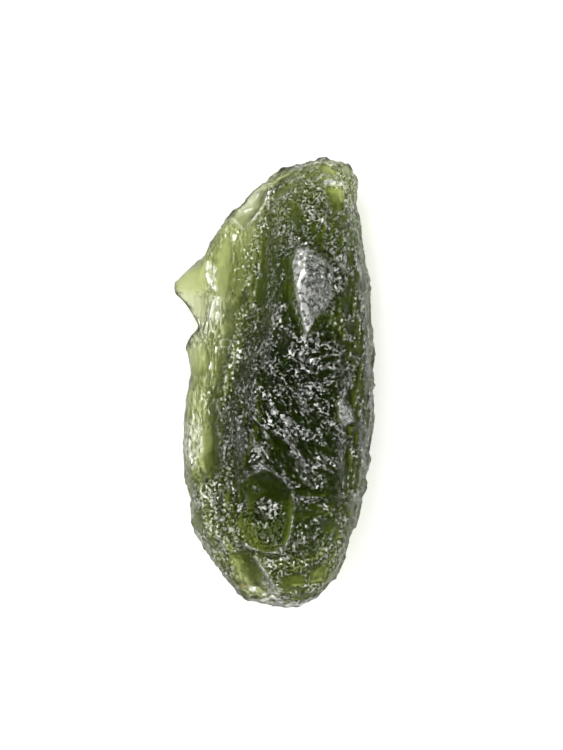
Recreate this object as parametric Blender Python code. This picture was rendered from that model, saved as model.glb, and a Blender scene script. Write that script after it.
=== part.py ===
"""A natural moldavite: one lump of etched green tektite glass, lying on its belly.

The stone lies along Y, blunt end at +Y, with a thin blade and a thorn along its -X side.
It rests on a small flat spot at z = 0, and the middle of its box is over the origin.
Run it with: blender --background --python part.py
"""

import math

import bmesh
import bpy
from mathutils import Matrix, Vector, noise

MM = 0.001

# Driving dimensions, in millimetres. Heights are measured from the plane of the widest outline.
HALF_LENGTH = 18.04
CREST_HEIGHT = 5.5
BELLY_DEPTH = 3.9
REST_CUT = 0.2
BLADE_HALF_THICKNESS = 1.15

# Mesh fineness before and after the plain stretches are thinned out
AROUND = 150
ALONG = 260
KEPT_SHARE = 0.112
TIP_CROWDING = 0.72

# The outline seen from above, as (y, x) in millimetres from the blunt end to the other one
LEFT_EDGE = (
    (18.04, 4.3), (17.6, 1.6), (17.2, 0.5), (16.4, -0.5), (15.5, -1.6), (14.6, -2.4),
    (13.7, -3.2), (13.3, -3.75), (12.5, -4.35), (11.1, -5.15), (10.2, -5.65), (9.2, -6.7),
    (8.5, -7.6), (7.8, -8.0), (7.4, -8.1), (7.0, -7.95), (6.4, -7.25), (5.7, -6.75),
    (5.0, -6.35), (4.55, -6.1), (3.9, -6.6), (3.0, -7.05), (2.2, -6.9), (0.4, -6.65),
    (-0.6, -6.9), (-2.8, -7.2), (-5.2, -7.3), (-7.2, -7.1), (-9.2, -6.75), (-11.5, -6.35),
    (-13.0, -5.7), (-14.6, -4.6), (-16.2, -3.35), (-17.2, -2.4), (-17.7, -0.9), (-18.04, 0.9),
)
RIGHT_EDGE = (
    (18.04, 4.3), (17.75, 5.8), (17.2, 6.3), (16.0, 6.65), (14.0, 6.7), (12.5, 7.15),
    (10.0, 7.3), (8.0, 7.75), (5.0, 7.8), (3.5, 8.0), (1.4, 7.95), (0.4, 8.15),
    (-1.0, 8.0), (-2.8, 8.05), (-5.0, 7.6), (-6.4, 7.75), (-7.5, 7.3), (-8.4, 7.5),
    (-9.4, 7.05), (-10.8, 6.85), (-12.0, 6.3), (-14.0, 5.75), (-15.4, 5.15), (-16.3, 4.4),
    (-17.2, 3.4), (-17.8, 2.2), (-18.04, 0.9),
)

# Where the thick core rises out of the blade, as (y, x)
CORE_EDGE = (
    (18.04, 4.3), (17.2, 1.2), (14.7, -0.9), (12.3, -1.4), (9.9, -1.9), (6.7, -2.4),
    (3.5, -2.9), (1.1, -3.6), (-1.3, -4.3), (-4.0, -4.7), (-7.0, -4.8), (-10.0, -5.3),
    (-12.5, -5.2), (-14.6, -4.2), (-17.2, -2.1), (-18.04, 0.9),
)

# Height of the crest and depth of the belly along the stone, as (y, share of the driving value)
CREST_SHARES = (
    (18.04, 0.0), (17.5, 0.28), (16.0, 0.46), (13.5, 0.62), (10.5, 0.84), (7.0, 0.96),
    (2.0, 1.0), (-3.0, 0.99), (-7.0, 0.93), (-10.0, 0.84), (-13.0, 0.66), (-15.5, 0.5),
    (-17.2, 0.3), (-18.04, 0.0),
)
BELLY_SHARES = (
    (18.04, 0.0), (17.4, 0.3), (15.5, 0.5), (12.5, 0.68), (8.0, 0.85), (4.0, 0.94),
    (-0.5, 1.0), (-5.0, 0.94), (-9.0, 0.84), (-13.0, 0.67), (-15.5, 0.5), (-17.3, 0.28),
    (-18.04, 0.0),
)
# Half thickness of the blade along the stone, as (y, share of the driving value)
BLADE_SHARES = (
    (18.04, 0.0), (16.5, 0.7), (13.5, 0.9), (9.5, 1.1), (8.1, 1.0), (7.0, 0.78),
    (5.4, 0.64), (4.2, 0.74), (2.8, 0.92), (-2.0, 1.15), (-7.0, 1.45), (-12.0, 1.5),
    (-16.0, 1.1), (-18.04, 0.0),
)
# How gently the core rises out of the blade along the stone, as (y, exponent of its profile)
SLOPE_SOFTNESS = (
    (18.04, 1.5), (12.0, 1.7), (4.0, 1.8), (0.0, 1.4), (-4.0, 1.05), (-18.04, 0.9),
)

# Hollows in the upper face: x, y, half width, half length, turn in degrees, depth
HOLLOWS = (
    (-0.4, -10.3, 2.7, 3.3, 0, 1.9),    # the thumbprint near the pointed end
    (-1.2, -12.2, 2.2, 2.2, 0, 0.5),
    (-1.9, 14.4, 0.8, 2.5, -36, 0.75),  # the chip along the slanting shoulder
    (5.1, 14.5, 0.8, 1.2, 0, 0.6),
    (4.0, 4.7, 1.7, 1.4, 20, 0.65),     # the notch below the scar
    (6.1, -1.2, 0.7, 1.9, 0, 0.3),
    (-3.75, 4.3, 0.75, 0.75, 0, 0.35),
    (-5.3, -5.6, 0.8, 2.6, 0, 0.35),
    (-6.3, -4.7, 0.6, 2.3, 4, 0.35),
    (3.4, -15.0, 1.4, 1.1, 20, 0.35),
    (-1.7, -15.2, 0.7, 2.1, -22, 0.45),
    (0.6, 11.6, 1.3, 2.0, 10, 0.3),
    (1.6, -0.6, 2.2, 0.8, -35, 0.3),
)
# Lumps on the upper face: x, y, half width, half length, turn in degrees, height
LUMPS = (
    (2.9, 7.8, 1.8, 3.7, -4, 0.8),     # the pale scar on the crest
    (5.2, -2.5, 0.8, 1.5, 12, 0.4),
    (2.5, -12.3, 1.5, 1.7, 0, 0.5),
    (4.6, 16.6, 1.2, 0.8, 0, 0.4),
    (-0.4, 2.2, 1.5, 3.0, -12, 0.25),
    (4.6, -7.0, 1.4, 2.2, 10, 0.25),
)
# Grooves in the upper face: start x, y, end x, y, half width, depth
GROOVES = (
    (6.1, 10.5, 6.2, 1.0, 0.7, 0.4),
    (6.2, 0.0, 6.0, -7.5, 0.7, 0.35),
    (6.0, -7.5, 4.8, -13.0, 0.7, 0.35),
    (-2.7, -1.3, 0.1, -5.2, 0.85, 0.45),
    (0.1, -5.2, 2.3, -8.4, 0.8, 0.45),
    (0.9, 0.7, 2.9, -1.8, 0.8, 0.35),
    (2.1, -9.2, 5.3, -9.8, 0.7, 0.4),
    (-3.2, -13.2, 2.2, -14.3, 0.65, 0.5),
    (-3.2, -5.0, -3.6, -10.2, 0.7, 0.4),
    (1.3, 12.8, 1.0, 3.5, 0.9, 0.35),
    (-0.8, 9.5, -1.3, 1.5, 0.7, 0.25),
)

# Hollows and grooves of the belly, in the same order as those of the upper face
BELLY_HOLLOWS = (
    (3.2, 10.5, 1.7, 2.2, 15, 0.7),
    (-0.6, 7.6, 1.3, 1.1, 0, 0.5),
    (5.4, 3.4, 1.2, 2.0, 0, 0.6),
    (-3.3, -4.6, 1.2, 2.4, 12, 0.6),
    (4.9, -7.4, 1.5, 1.3, 0, 0.6),
    (-1.2, -10.8, 2.2, 1.7, 30, 0.8),
    (2.4, -14.3, 1.4, 1.2, 0, 0.5),
    (3.2, 15.3, 1.2, 0.9, 0, 0.4),
)
BELLY_GROOVES = (
    (-0.8, 14.8, 2.4, 4.4, 1.2, 0.4),
    (5.4, 8.6, 5.9, -2.6, 1.3, 0.35),
    (-2.9, 1.6, -1.8, -7.6, 1.1, 0.4),
    (2.0, -5.8, 4.2, -12.4, 1.2, 0.45),
    (-4.2, -8.2, -2.0, -13.6, 1.0, 0.4),
)

# Pits etched all over, and the swell of the whole skin
PIT_SPACING = 2.4
PIT_DEPTH = 0.6
# The part of the belly that is worn smooth: x, y, half width, half length, turn, wear
WORN_SPOT = (1.6, -1.6, 4.0, 7.5, 0, 1.0)
WARP_SPACING = 2.6
WARP = 0.7
SWELL_SPACING = 4.2
SWELL_HEIGHT = 0.3
RIPPLE_SPACING = 1.7
RIPPLE_HEIGHT = 0.2

GLASS_GREEN = (0.16, 0.2, 0.06, 1.0)


def interpolate(points, at):
    """A smooth curve through (place, value) points, read at one place."""
    points = sorted(points)
    if at <= points[0][0]:
        return points[0][1]
    if at >= points[-1][0]:
        return points[-1][1]
    after = next(i for i, (place, _) in enumerate(points) if place > at)
    (start, low), (end, high) = points[after - 1], points[after]
    span = end - start
    share = (at - start) / span

    def slope(i):
        """Rise per unit at point i, from its two neighbours."""
        before, beyond = points[max(i - 1, 0)], points[min(i + 1, len(points) - 1)]
        return (beyond[1] - before[1]) / (beyond[0] - before[0])

    squared, cubed = share**2, share**3
    return (
        (2 * cubed - 3 * squared + 1) * low
        + (cubed - 2 * squared + share) * span * slope(after - 1)
        + (3 * squared - 2 * cubed) * high
        + (cubed - squared) * span * slope(after)
    )


def fade(distance):
    """1 at the middle of a form, falling smoothly to 0 at distance 1."""
    inside = max(0.0, 1.0 - distance)
    return inside * inside * (3.0 - 2.0 * inside)


def oval_distance(x, y, form):
    """How far (x, y) is from a form's middle, in half sizes of the turned oval."""
    centre_x, centre_y, half_x, half_y, turn, _ = form
    angle = math.radians(turn)
    across, along = x - centre_x, y - centre_y
    return math.hypot(
        (across * math.cos(angle) + along * math.sin(angle)) / half_x,
        (along * math.cos(angle) - across * math.sin(angle)) / half_y,
    )


def groove_distance(x, y, groove):
    """How far (x, y) is from a groove's line, in half widths."""
    start, end = Vector(groove[0:2]), Vector(groove[2:4])
    line, here = end - start, Vector((x, y)) - start
    share = min(1.0, max(0.0, here.dot(line) / line.length_squared))
    return (here - line * share).length / groove[4]


def relief(x, y, hollows, grooves, lumps=()):
    """Height that named hollows, grooves and lumps add to a face at (x, y)."""
    # Their outlines wander a little, as etched ones do
    here = Vector((x, y, 0)) / WARP_SPACING
    x += WARP * noise.noise(here)
    y += WARP * noise.noise(here + Vector((0, 0, 9)))
    height = sum(form[5] * fade(oval_distance(x, y, form)) for form in lumps)
    for form in hollows:
        # A hollow has a flat floor and a steep wall, as a shell-shaped break has
        height -= form[5] * min(1.0, 1.35 * fade(oval_distance(x, y, form)))
    height -= sum(groove[5] * fade(groove_distance(x, y, groove)) for groove in grooves)
    return height


def dome(share, squareness, softness):
    """A rounded profile: 0 at both ends of 0 to 1 and 1 in the middle, upright at the far end."""
    from_middle = min(1.0, abs(2.0 * share - 1.0))
    roundness = softness if share < 0.5 else 0.55
    return (1.0 - from_middle**squareness) ** roundness


def edge_round(distance, radius):
    """A quarter round: 0 on the edge, 1 from one radius inwards."""
    short = max(0.0, 1.0 - distance / radius)
    return math.sqrt(max(0.0, 1.0 - short * short))


def smooth_larger(first, second):
    """The larger of two heights, with the crease between them rounded."""
    return (first**3 + second**3) ** (1 / 3)


def skin_point(turn, latitude):
    """The place on the plain form for an angle round a section and a share from end to end."""
    bend = (1 - TIP_CROWDING) * latitude + TIP_CROWDING * math.sin(latitude * math.pi / 2)
    y = HALF_LENGTH * bend
    left, right = interpolate(LEFT_EDGE, y), interpolate(RIGHT_EDGE, y)
    core = interpolate(CORE_EDGE, y)
    x = (left + right) / 2 + (right - left) / 2 * math.cos(turn)
    blade = BLADE_HALF_THICKNESS * interpolate(BLADE_SHARES, y)
    # Rounded at both outer edges
    blade *= edge_round(x - left, 1.0) * edge_round(right - x, 2.2)
    middle = 0.25 * math.sin(y / 5.0) - 0.1 * max(0.0, core - x)
    upper = math.sin(turn) >= 0
    reach = core if upper else core - 0.6
    share = min(1.0, max(0.0, (x - reach) / max(right - reach, 1e-6)))
    inwards = min(1.0, 2.0 * abs(math.sin(turn)))
    softness = interpolate(SLOPE_SOFTNESS, y)
    if upper:
        height = CREST_HEIGHT * interpolate(CREST_SHARES, y) * dome(share, 2.8, softness)
        height = smooth_larger(blade, height)
        height += relief(x, y, HOLLOWS, GROOVES, LUMPS) * inwards
        return Vector((x, y, middle + height))
    depth = BELLY_DEPTH * interpolate(BELLY_SHARES, y) * dome(share, 2.2, softness)
    depth = smooth_larger(blade, depth) + relief(x, y, BELLY_HOLLOWS, BELLY_GROOVES) * inwards
    return Vector((x, y, middle - depth))


def pit(place, seed):
    """Depth of the round etch pits at a place: 1 at a pit's floor, 0 between pits."""
    distances, _ = noise.voronoi((place + Vector((seed, 0, 0))) / PIT_SPACING)
    return fade(distances[0] / 0.72)


def roughen(mesh):
    """Gives the skin its swells, ripples and pits, along each vertex's own normal."""
    mesh.normal_update()
    moves = []
    for vertex in mesh.verts:
        place, normal = vertex.co, vertex.normal
        swell = noise.noise(place / SWELL_SPACING + Vector((7, 3, 1)))
        # Ripples are drawn out along the stone, as its flow lines are
        drawn_out = Vector((place.x, place.y * 0.45, place.z)) / RIPPLE_SPACING
        ripple = noise.noise(drawn_out)
        # Pits are shallow on the upper face, which has its own named forms
        depth = PIT_DEPTH * (0.5 if normal.z > 0.3 else 1.0)
        move = SWELL_HEIGHT * swell + RIPPLE_HEIGHT * ripple - depth * pit(place, 11)
        if normal.z < 0:
            move *= 1.0 - min(1.0, 1.3 * fade(oval_distance(place.x, place.y, WORN_SPOT)))
        # The outline and the thin blade keep their measured places
        sideways = 1.0 - abs(normal.z)
        moves.append(normal * move * (1.0 - 0.92 * sideways))
    for vertex, move in zip(mesh.verts, moves):
        vertex.co += move


def glass():
    """Etched bottle-green glass."""
    material = bpy.data.materials.new("tektite_glass")
    material.use_nodes = True
    shader = material.node_tree.nodes["Principled BSDF"]
    shader.inputs["Base Color"].default_value = GLASS_GREEN
    shader.inputs["Roughness"].default_value = 0.25
    shader.inputs["Metallic"].default_value = 0.0
    return material


def sculpted_stone():
    """The whole lump in millimetres, before it is thinned out and cut to rest."""
    mesh = bmesh.new()
    bmesh.ops.create_uvsphere(mesh, u_segments=AROUND, v_segments=ALONG, radius=1.0)
    for vertex in mesh.verts:
        latitude = math.asin(max(-1.0, min(1.0, vertex.co.z))) / (math.pi / 2)
        turn = math.atan2(vertex.co.y, vertex.co.x)
        vertex.co = skin_point(turn, latitude)
    bmesh.ops.triangulate(mesh, faces=mesh.faces)
    # The sphere's axis was Z and is now Y, which turned the faces inside out
    bmesh.ops.recalc_face_normals(mesh, faces=mesh.faces)
    roughen(mesh)
    return mesh


def thinned(mesh, name):
    """The mesh with far fewer triangles where the skin is plain, and as many at its ridges."""
    data = bpy.data.meshes.new(name)
    mesh.to_mesh(data)
    mesh.free()
    fine = bpy.data.objects.new(name, data)
    bpy.context.scene.collection.objects.link(fine)
    decimate = fine.modifiers.new("thin_out", "DECIMATE")
    decimate.ratio = KEPT_SHARE
    graph = bpy.context.evaluated_depsgraph_get()
    coarse = bmesh.new()
    coarse.from_mesh(bpy.data.meshes.new_from_object(fine.evaluated_get(graph)))
    bpy.data.objects.remove(fine)
    return coarse


def cut_rest_spot(mesh):
    """Slices the lowest part of the belly off flat, so that the stone has a spot to rest on."""
    rest_height = -(BELLY_DEPTH - REST_CUT)
    everything = mesh.verts[:] + mesh.edges[:] + mesh.faces[:]
    cut = bmesh.ops.bisect_plane(
        mesh, geom=everything, dist=1e-4, plane_co=(0, 0, rest_height), plane_no=(0, 0, -1), clear_outer=True
    )
    rim = [item for item in cut["geom_cut"] if isinstance(item, bmesh.types.BMEdge)]
    bmesh.ops.contextual_create(mesh, geom=rim)
    bmesh.ops.translate(mesh, verts=mesh.verts, vec=(0, 0, -rest_height))


def centre_over_origin(mesh):
    """Moves the stone so that the middle of its box is over the origin."""
    for axis in (0, 1):
        places = [vertex.co[axis] for vertex in mesh.verts]
        shift = Vector((0, 0, 0))
        shift[axis] = -(min(places) + max(places)) / 2
        bmesh.ops.translate(mesh, verts=mesh.verts, vec=shift)


def build():
    """Clears the scene and makes the moldavite."""
    for item in list(bpy.data.objects):
        bpy.data.objects.remove(item)
    collection = bpy.data.collections.new("moldavite")
    bpy.context.scene.collection.children.link(collection)

    mesh = thinned(sculpted_stone(), "fine_form")
    cut_rest_spot(mesh)
    centre_over_origin(mesh)
    bmesh.ops.triangulate(mesh, faces=mesh.faces)
    bmesh.ops.transform(mesh, matrix=Matrix.Scale(MM, 4), verts=mesh.verts)
    data = bpy.data.meshes.new("moldavite")
    mesh.to_mesh(data)
    mesh.free()
    data.shade_smooth()
    data.materials.append(glass())
    stone = bpy.data.objects.new("moldavite", data)
    collection.objects.link(stone)


build()
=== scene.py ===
"""A natural moldavite lying on its belly on white paper, in soft studio light.

The stone's large forms come from the CAD part. This script gives them the skin that the real
stone has: etched grain, folds, furrows, ledges, a thumbprint, a pale scar, and clear green glass
inside.
"""

import logging
import math
from dataclasses import dataclass, field
from enum import Enum
from typing import Any, Sequence

import bmesh
import bpy
import numpy as np
from mathutils import Matrix, Vector, noise


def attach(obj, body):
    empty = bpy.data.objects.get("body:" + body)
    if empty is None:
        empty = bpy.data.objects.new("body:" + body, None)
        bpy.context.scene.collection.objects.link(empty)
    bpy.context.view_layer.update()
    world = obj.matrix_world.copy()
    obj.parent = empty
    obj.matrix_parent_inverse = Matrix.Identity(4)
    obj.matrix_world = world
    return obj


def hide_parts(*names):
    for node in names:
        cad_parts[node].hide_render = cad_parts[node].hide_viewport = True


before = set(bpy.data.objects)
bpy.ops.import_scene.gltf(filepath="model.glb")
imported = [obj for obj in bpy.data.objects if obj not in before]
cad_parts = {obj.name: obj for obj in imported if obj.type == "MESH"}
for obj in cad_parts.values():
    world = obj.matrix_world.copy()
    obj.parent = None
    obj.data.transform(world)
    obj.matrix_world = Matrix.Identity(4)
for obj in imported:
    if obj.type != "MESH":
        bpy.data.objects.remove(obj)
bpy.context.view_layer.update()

LOG = logging.getLogger("moldavite")
MM = 0.001
# Places on the upper face are read off the photograph, in its pixels
MM_PER_PIXEL = 0.08
STONE_MIDDLE = (274.0, 383.5)


# Places on the stone


class Mask(Enum):
    """The point attributes that tell the glass how its skin changes from place to place."""

    # Etched grain of three kinds: round, drawn out along the stone, and drawn out slantwise
    GRAIN = "grain"
    FLOW = "flow"
    SLANT = "slant"
    # Bruised glass, bright crests, and stains
    FROST = "frost"
    GLINT = "glint"
    RUST = "rust"


class Edge(Enum):
    """How a form meets the skin around it."""

    SOFT = "soft"
    CRISP = "crisp"


Looks = dict[Mask, float]
Pair = tuple[float, float]
Triple = tuple[float, float, float]
Colour = tuple[float, float, float, float]
Points = tuple[Pair, ...]


def on_stone(points: Points) -> np.ndarray:
    """Turns places in the photograph, in pixels, into millimetres on the stone."""
    return (np.array(points) - STONE_MIDDLE) * (MM_PER_PIXEL, -MM_PER_PIXEL)


def fade(distance: np.ndarray) -> np.ndarray:
    """1 in the middle of a form, falling smoothly to 0 at distance 1."""
    inside = np.clip(1.0 - distance, 0.0, 1.0)
    return inside * inside * (3.0 - 2.0 * inside)


def rise(values: np.ndarray, low: float, high: float) -> np.ndarray:
    """0 below low and 1 above high, with a smooth step between them."""
    share = np.clip((values - low) / (high - low), 0.0, 1.0)
    return share * share * (3.0 - 2.0 * share)


def line_distance(x: np.ndarray, y: np.ndarray, start: np.ndarray, end: np.ndarray) -> np.ndarray:
    """Distance of each place from a straight line between two points.

    Args:
        x: The places' x, in millimetres.
        y: The places' y, in millimetres.
        start: One end of the line.
        end: Its other end.

    Returns:
        One distance per place, in millimetres.
    """
    along = end - start
    share = ((x - start[0]) * along[0] + (y - start[1]) * along[1]) / along.dot(along)
    share = np.clip(share, 0.0, 1.0)
    return np.hypot(x - start[0] - share * along[0], y - start[1] - share * along[1])


def noise_field(places: np.ndarray, spacing: Sequence[float], seed: float) -> np.ndarray:
    """Smooth noise at each place.

    Args:
        places: One row of x, y, z per point, in millimetres.
        spacing: Size of the noise's waves along x, y and z, in millimetres.
        seed: Shifts the noise, so that two fields differ.

    Returns:
        One value per place, between -1 and 1.
    """
    scaled = places / np.asarray(spacing) + seed
    return np.array([noise.noise(Vector(p)) for p in scaled])


def cell_field(places: np.ndarray, spacing: Sequence[float], seed: float) -> np.ndarray:
    """Distance from the middle of the nearest cell at each place.

    Args:
        places: One row of x, y, z per point, in millimetres.
        spacing: Size of the cells along x, y and z, in millimetres.
        seed: Shifts the cells, so that two fields differ.

    Returns:
        One value per place, in cell sizes.
    """
    scaled = places / np.asarray(spacing) + seed
    return np.array([noise.voronoi(Vector(p))[0][0] for p in scaled])


@dataclass(frozen=True)
class Patch:
    """A form with a many-cornered outline.

    Corners are in the photograph's pixels. Height and edge width are in millimetres, and the
    height is below 0 for a hollow. Looks are the values the masks take inside it.
    """

    name: str
    corners: Points
    height: float
    width: float
    edge: Edge = Edge.CRISP
    looks: Looks = field(default_factory=dict)

    def weight(self, x: np.ndarray, y: np.ndarray) -> np.ndarray:
        """How much of the form each place has, from 0 outside to 1 well inside.

        Args:
            x: The places' x, in millimetres.
            y: The places' y, in millimetres.

        Returns:
            One share per place.
        """
        corners = on_stone(self.corners)
        nearest = np.full(len(x), np.inf)
        inside = np.zeros(len(x), bool)
        for start, end in zip(corners, np.roll(corners, -1, axis=0)):
            nearest = np.minimum(nearest, line_distance(x, y, start, end))
            if start[1] != end[1]:
                crossing = start[0] + (y - start[1]) * (end[0] - start[0]) / (end[1] - start[1])
                inside ^= ((start[1] > y) != (end[1] > y)) & (x < crossing)
        if self.edge is Edge.SOFT:
            return rise(np.where(inside, nearest, -nearest), -self.width / 2, self.width / 2)
        short = 1.0 - np.clip(nearest / self.width, 0.0, 1.0)
        return np.where(inside, 1.0 - short * short, 0.0)


@dataclass(frozen=True)
class Trail:
    """A ridge or furrow along a line.

    Points are in the photograph's pixels. Height and half width are in millimetres, and the
    height is below 0 for a furrow. Looks are added to the masks along it.
    """

    name: str
    points: Points
    height: float
    half_width: float
    looks: Looks = field(default_factory=dict)

    def weight(self, x: np.ndarray, y: np.ndarray) -> np.ndarray:
        """How much of the form each place has, from 0 beside it to 1 on its line.

        Args:
            x: The places' x, in millimetres.
            y: The places' y, in millimetres.

        Returns:
            One share per place.
        """
        points = on_stone(self.points)
        nearest = np.full(len(x), np.inf)
        for start, end in zip(points, points[1:]):
            nearest = np.minimum(nearest, line_distance(x, y, start, end))
        return fade(nearest / self.half_width)


@dataclass(frozen=True)
class Oval:
    """An oval zone. Its middle and its half sizes are in the photograph's pixels."""

    middle: Pair
    half_x: float
    half_y: float
    # Where the zone begins to fade and where it ends, as shares of its half sizes
    fading: float = 0.6
    gone: float = 1.1

    def reach(self, x: np.ndarray, y: np.ndarray) -> np.ndarray:
        """How far out each place is: 0 in the middle and 1 on the oval itself.

        Args:
            x: The places' x, in millimetres.
            y: The places' y, in millimetres.

        Returns:
            One distance per place.
        """
        middle = on_stone((self.middle,))[0]
        across = (x - middle[0]) / (self.half_x * MM_PER_PIXEL)
        along = (y - middle[1]) / (self.half_y * MM_PER_PIXEL)
        return np.hypot(across, along)

    def weight(self, x: np.ndarray, y: np.ndarray) -> np.ndarray:
        """1 in the middle of the zone, falling to 0 outside it."""
        return 1.0 - rise(self.reach(x, y), self.fading, self.gone)


@dataclass(frozen=True)
class Folds:
    """Fine folds that all run one way, in an oval zone.

    The run is in degrees up from the right. Spacing and height are in millimetres, the length
    is in spacings, and a higher sharpness gives narrower crests.
    """

    name: str
    oval: Oval
    run: float
    spacing: float
    height: float
    length: float = 4.5
    sharpness: float = 3.2

    def waves(self, x: np.ndarray, y: np.ndarray) -> np.ndarray:
        """The folds at each place, up to 1 on their sharp crests and below 0 between them.

        Args:
            x: The places' x, in millimetres.
            y: The places' y, in millimetres.

        Returns:
            One height per place.
        """
        angle = math.radians(self.run)
        along = x * math.cos(angle) + y * math.sin(angle)
        across = y * math.cos(angle) - x * math.sin(angle)
        turned = np.column_stack((along, across, np.zeros(len(x))))
        swell = noise_field(turned, (self.spacing * self.length, self.spacing, 1.0), self.run)
        return 1.0 - self.sharpness * np.abs(swell)


@dataclass(frozen=True)
class Bowls:
    """Etched bowls of one size. Spacing along x, y and z and depth are in millimetres."""

    spacing: Triple
    depth: float
    seed: float
    # How far from its middle a bowl still rises, and where its mean level is
    reach: float = 0.8
    level: float = 0.3

    def heights(self, places: np.ndarray) -> np.ndarray:
        """Height of the bowls' walls and floors at each place."""
        distance = cell_field(places, self.spacing, self.seed)
        return self.depth * (np.minimum(distance, self.reach) ** 2 - self.level)


@dataclass(frozen=True)
class Ripples:
    """Soft unevenness. Spacing along x, y and z and height are in millimetres."""

    spacing: Triple
    height: float
    seed: float

    def heights(self, places: np.ndarray) -> np.ndarray:
        """Height of the ripples at each place."""
        return self.height * noise_field(places, self.spacing, self.seed)


@dataclass(frozen=True)
class GrainZone:
    """Where the skin has grain besides the round kind, which kind, and how much."""

    name: str
    oval: Oval
    mask: Mask
    amount: float


@dataclass(frozen=True)
class PlainStretch:
    """A stretch without facets, and how many rounds of smoothing level it."""

    name: str
    oval: Oval
    rounds: int


# Finishes


def new_material(name: str) -> tuple[bpy.types.Material, bpy.types.ShaderNodeTree, Any]:
    """Makes a material with nodes.

    Args:
        name: The finish in plain words.

    Returns:
        The material, its node tree and its Principled shader.
    """
    material = bpy.data.materials.new(name)
    material.use_nodes = True
    tree = material.node_tree
    return material, tree, tree.nodes["Principled BSDF"]


# The colour sockets of a Mix node come after its number and vector ones
MIX_PLAIN = 6
MIX_OTHER = 7
MIX_RESULT = 2
MIDDLE_GREY = (0.5, 0.5, 0.5)


class NodePen:
    """Writes shader nodes into a tree, one call per node."""

    def __init__(self, tree: bpy.types.ShaderNodeTree) -> None:
        """Keeps the tree to write into."""
        self.tree = tree

    def feed(self, socket: Any, value: Any) -> None:
        """Links a socket to another one, or sets it to a number or a colour.

        Args:
            socket: The input to feed.
            value: The socket, number or colour that feeds it.
        """
        if isinstance(value, bpy.types.NodeSocket):
            self.tree.links.new(value, socket)
        else:
            socket.default_value = value

    def add(self, kind: str, settings: dict[str, Any] | None = None, **sockets: Any) -> Any:
        """Adds a node.

        Args:
            kind: The node's type.
            settings: Its properties, such as its operation.
            **sockets: What feeds its inputs, with an underscore for each space.

        Returns:
            The node.
        """
        node = self.tree.nodes.new(kind)
        for name, value in (settings or {}).items():
            setattr(node, name, value)
        for name, value in sockets.items():
            self.feed(node.inputs[name.replace("_", " ")], value)
        return node

    def maths(self, operation: str, *values: Any) -> Any:
        """Adds a Math node.

        Args:
            operation: What it works out.
            *values: The sockets or numbers that feed it.

        Returns:
            Its output.
        """
        node = self.add("ShaderNodeMath", {"operation": operation})
        for socket, value in zip(node.inputs, values):
            self.feed(socket, value)
        return node.outputs[0]

    def vector(self, operation: str, *values: Any) -> Any:
        """Adds a Vector Math node.

        Args:
            operation: What it works out.
            *values: The sockets or vectors that feed it.

        Returns:
            Its vector output.
        """
        node = self.add("ShaderNodeVectorMath", {"operation": operation})
        for socket, value in zip(node.inputs, values):
            self.feed(socket, value)
        return node.outputs[0]

    def mix(self, share: Any, plain: Any, other: Any) -> Any:
        """Adds a colour Mix node.

        Args:
            share: How much of the other colour it gives.
            plain: The colour at share 0.
            other: The colour at share 1.

        Returns:
            The mixed colour.
        """
        node = self.add("ShaderNodeMix", {"data_type": "RGBA"}, Factor=share)
        self.feed(node.inputs[MIX_PLAIN], plain)
        self.feed(node.inputs[MIX_OTHER], other)
        return node.outputs[MIX_RESULT]

    def step(self, value: Any, low: Any, high: Any, start: float = 0.0, end: float = 1.0) -> Any:
        """Adds a smooth step.

        Args:
            value: What drives the step.
            low: The value at which it starts.
            high: The value at which it ends.
            start: What it gives up to low.
            end: What it gives from high on.

        Returns:
            The step's result.
        """
        node = self.add("ShaderNodeMapRange", {"interpolation_type": "SMOOTHSTEP"})
        for name, given in (
            ("Value", value),
            ("From Min", low),
            ("From Max", high),
            ("To Min", start),
            ("To Max", end),
        ):
            self.feed(node.inputs[name], given)
        return node.outputs["Result"]


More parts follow.
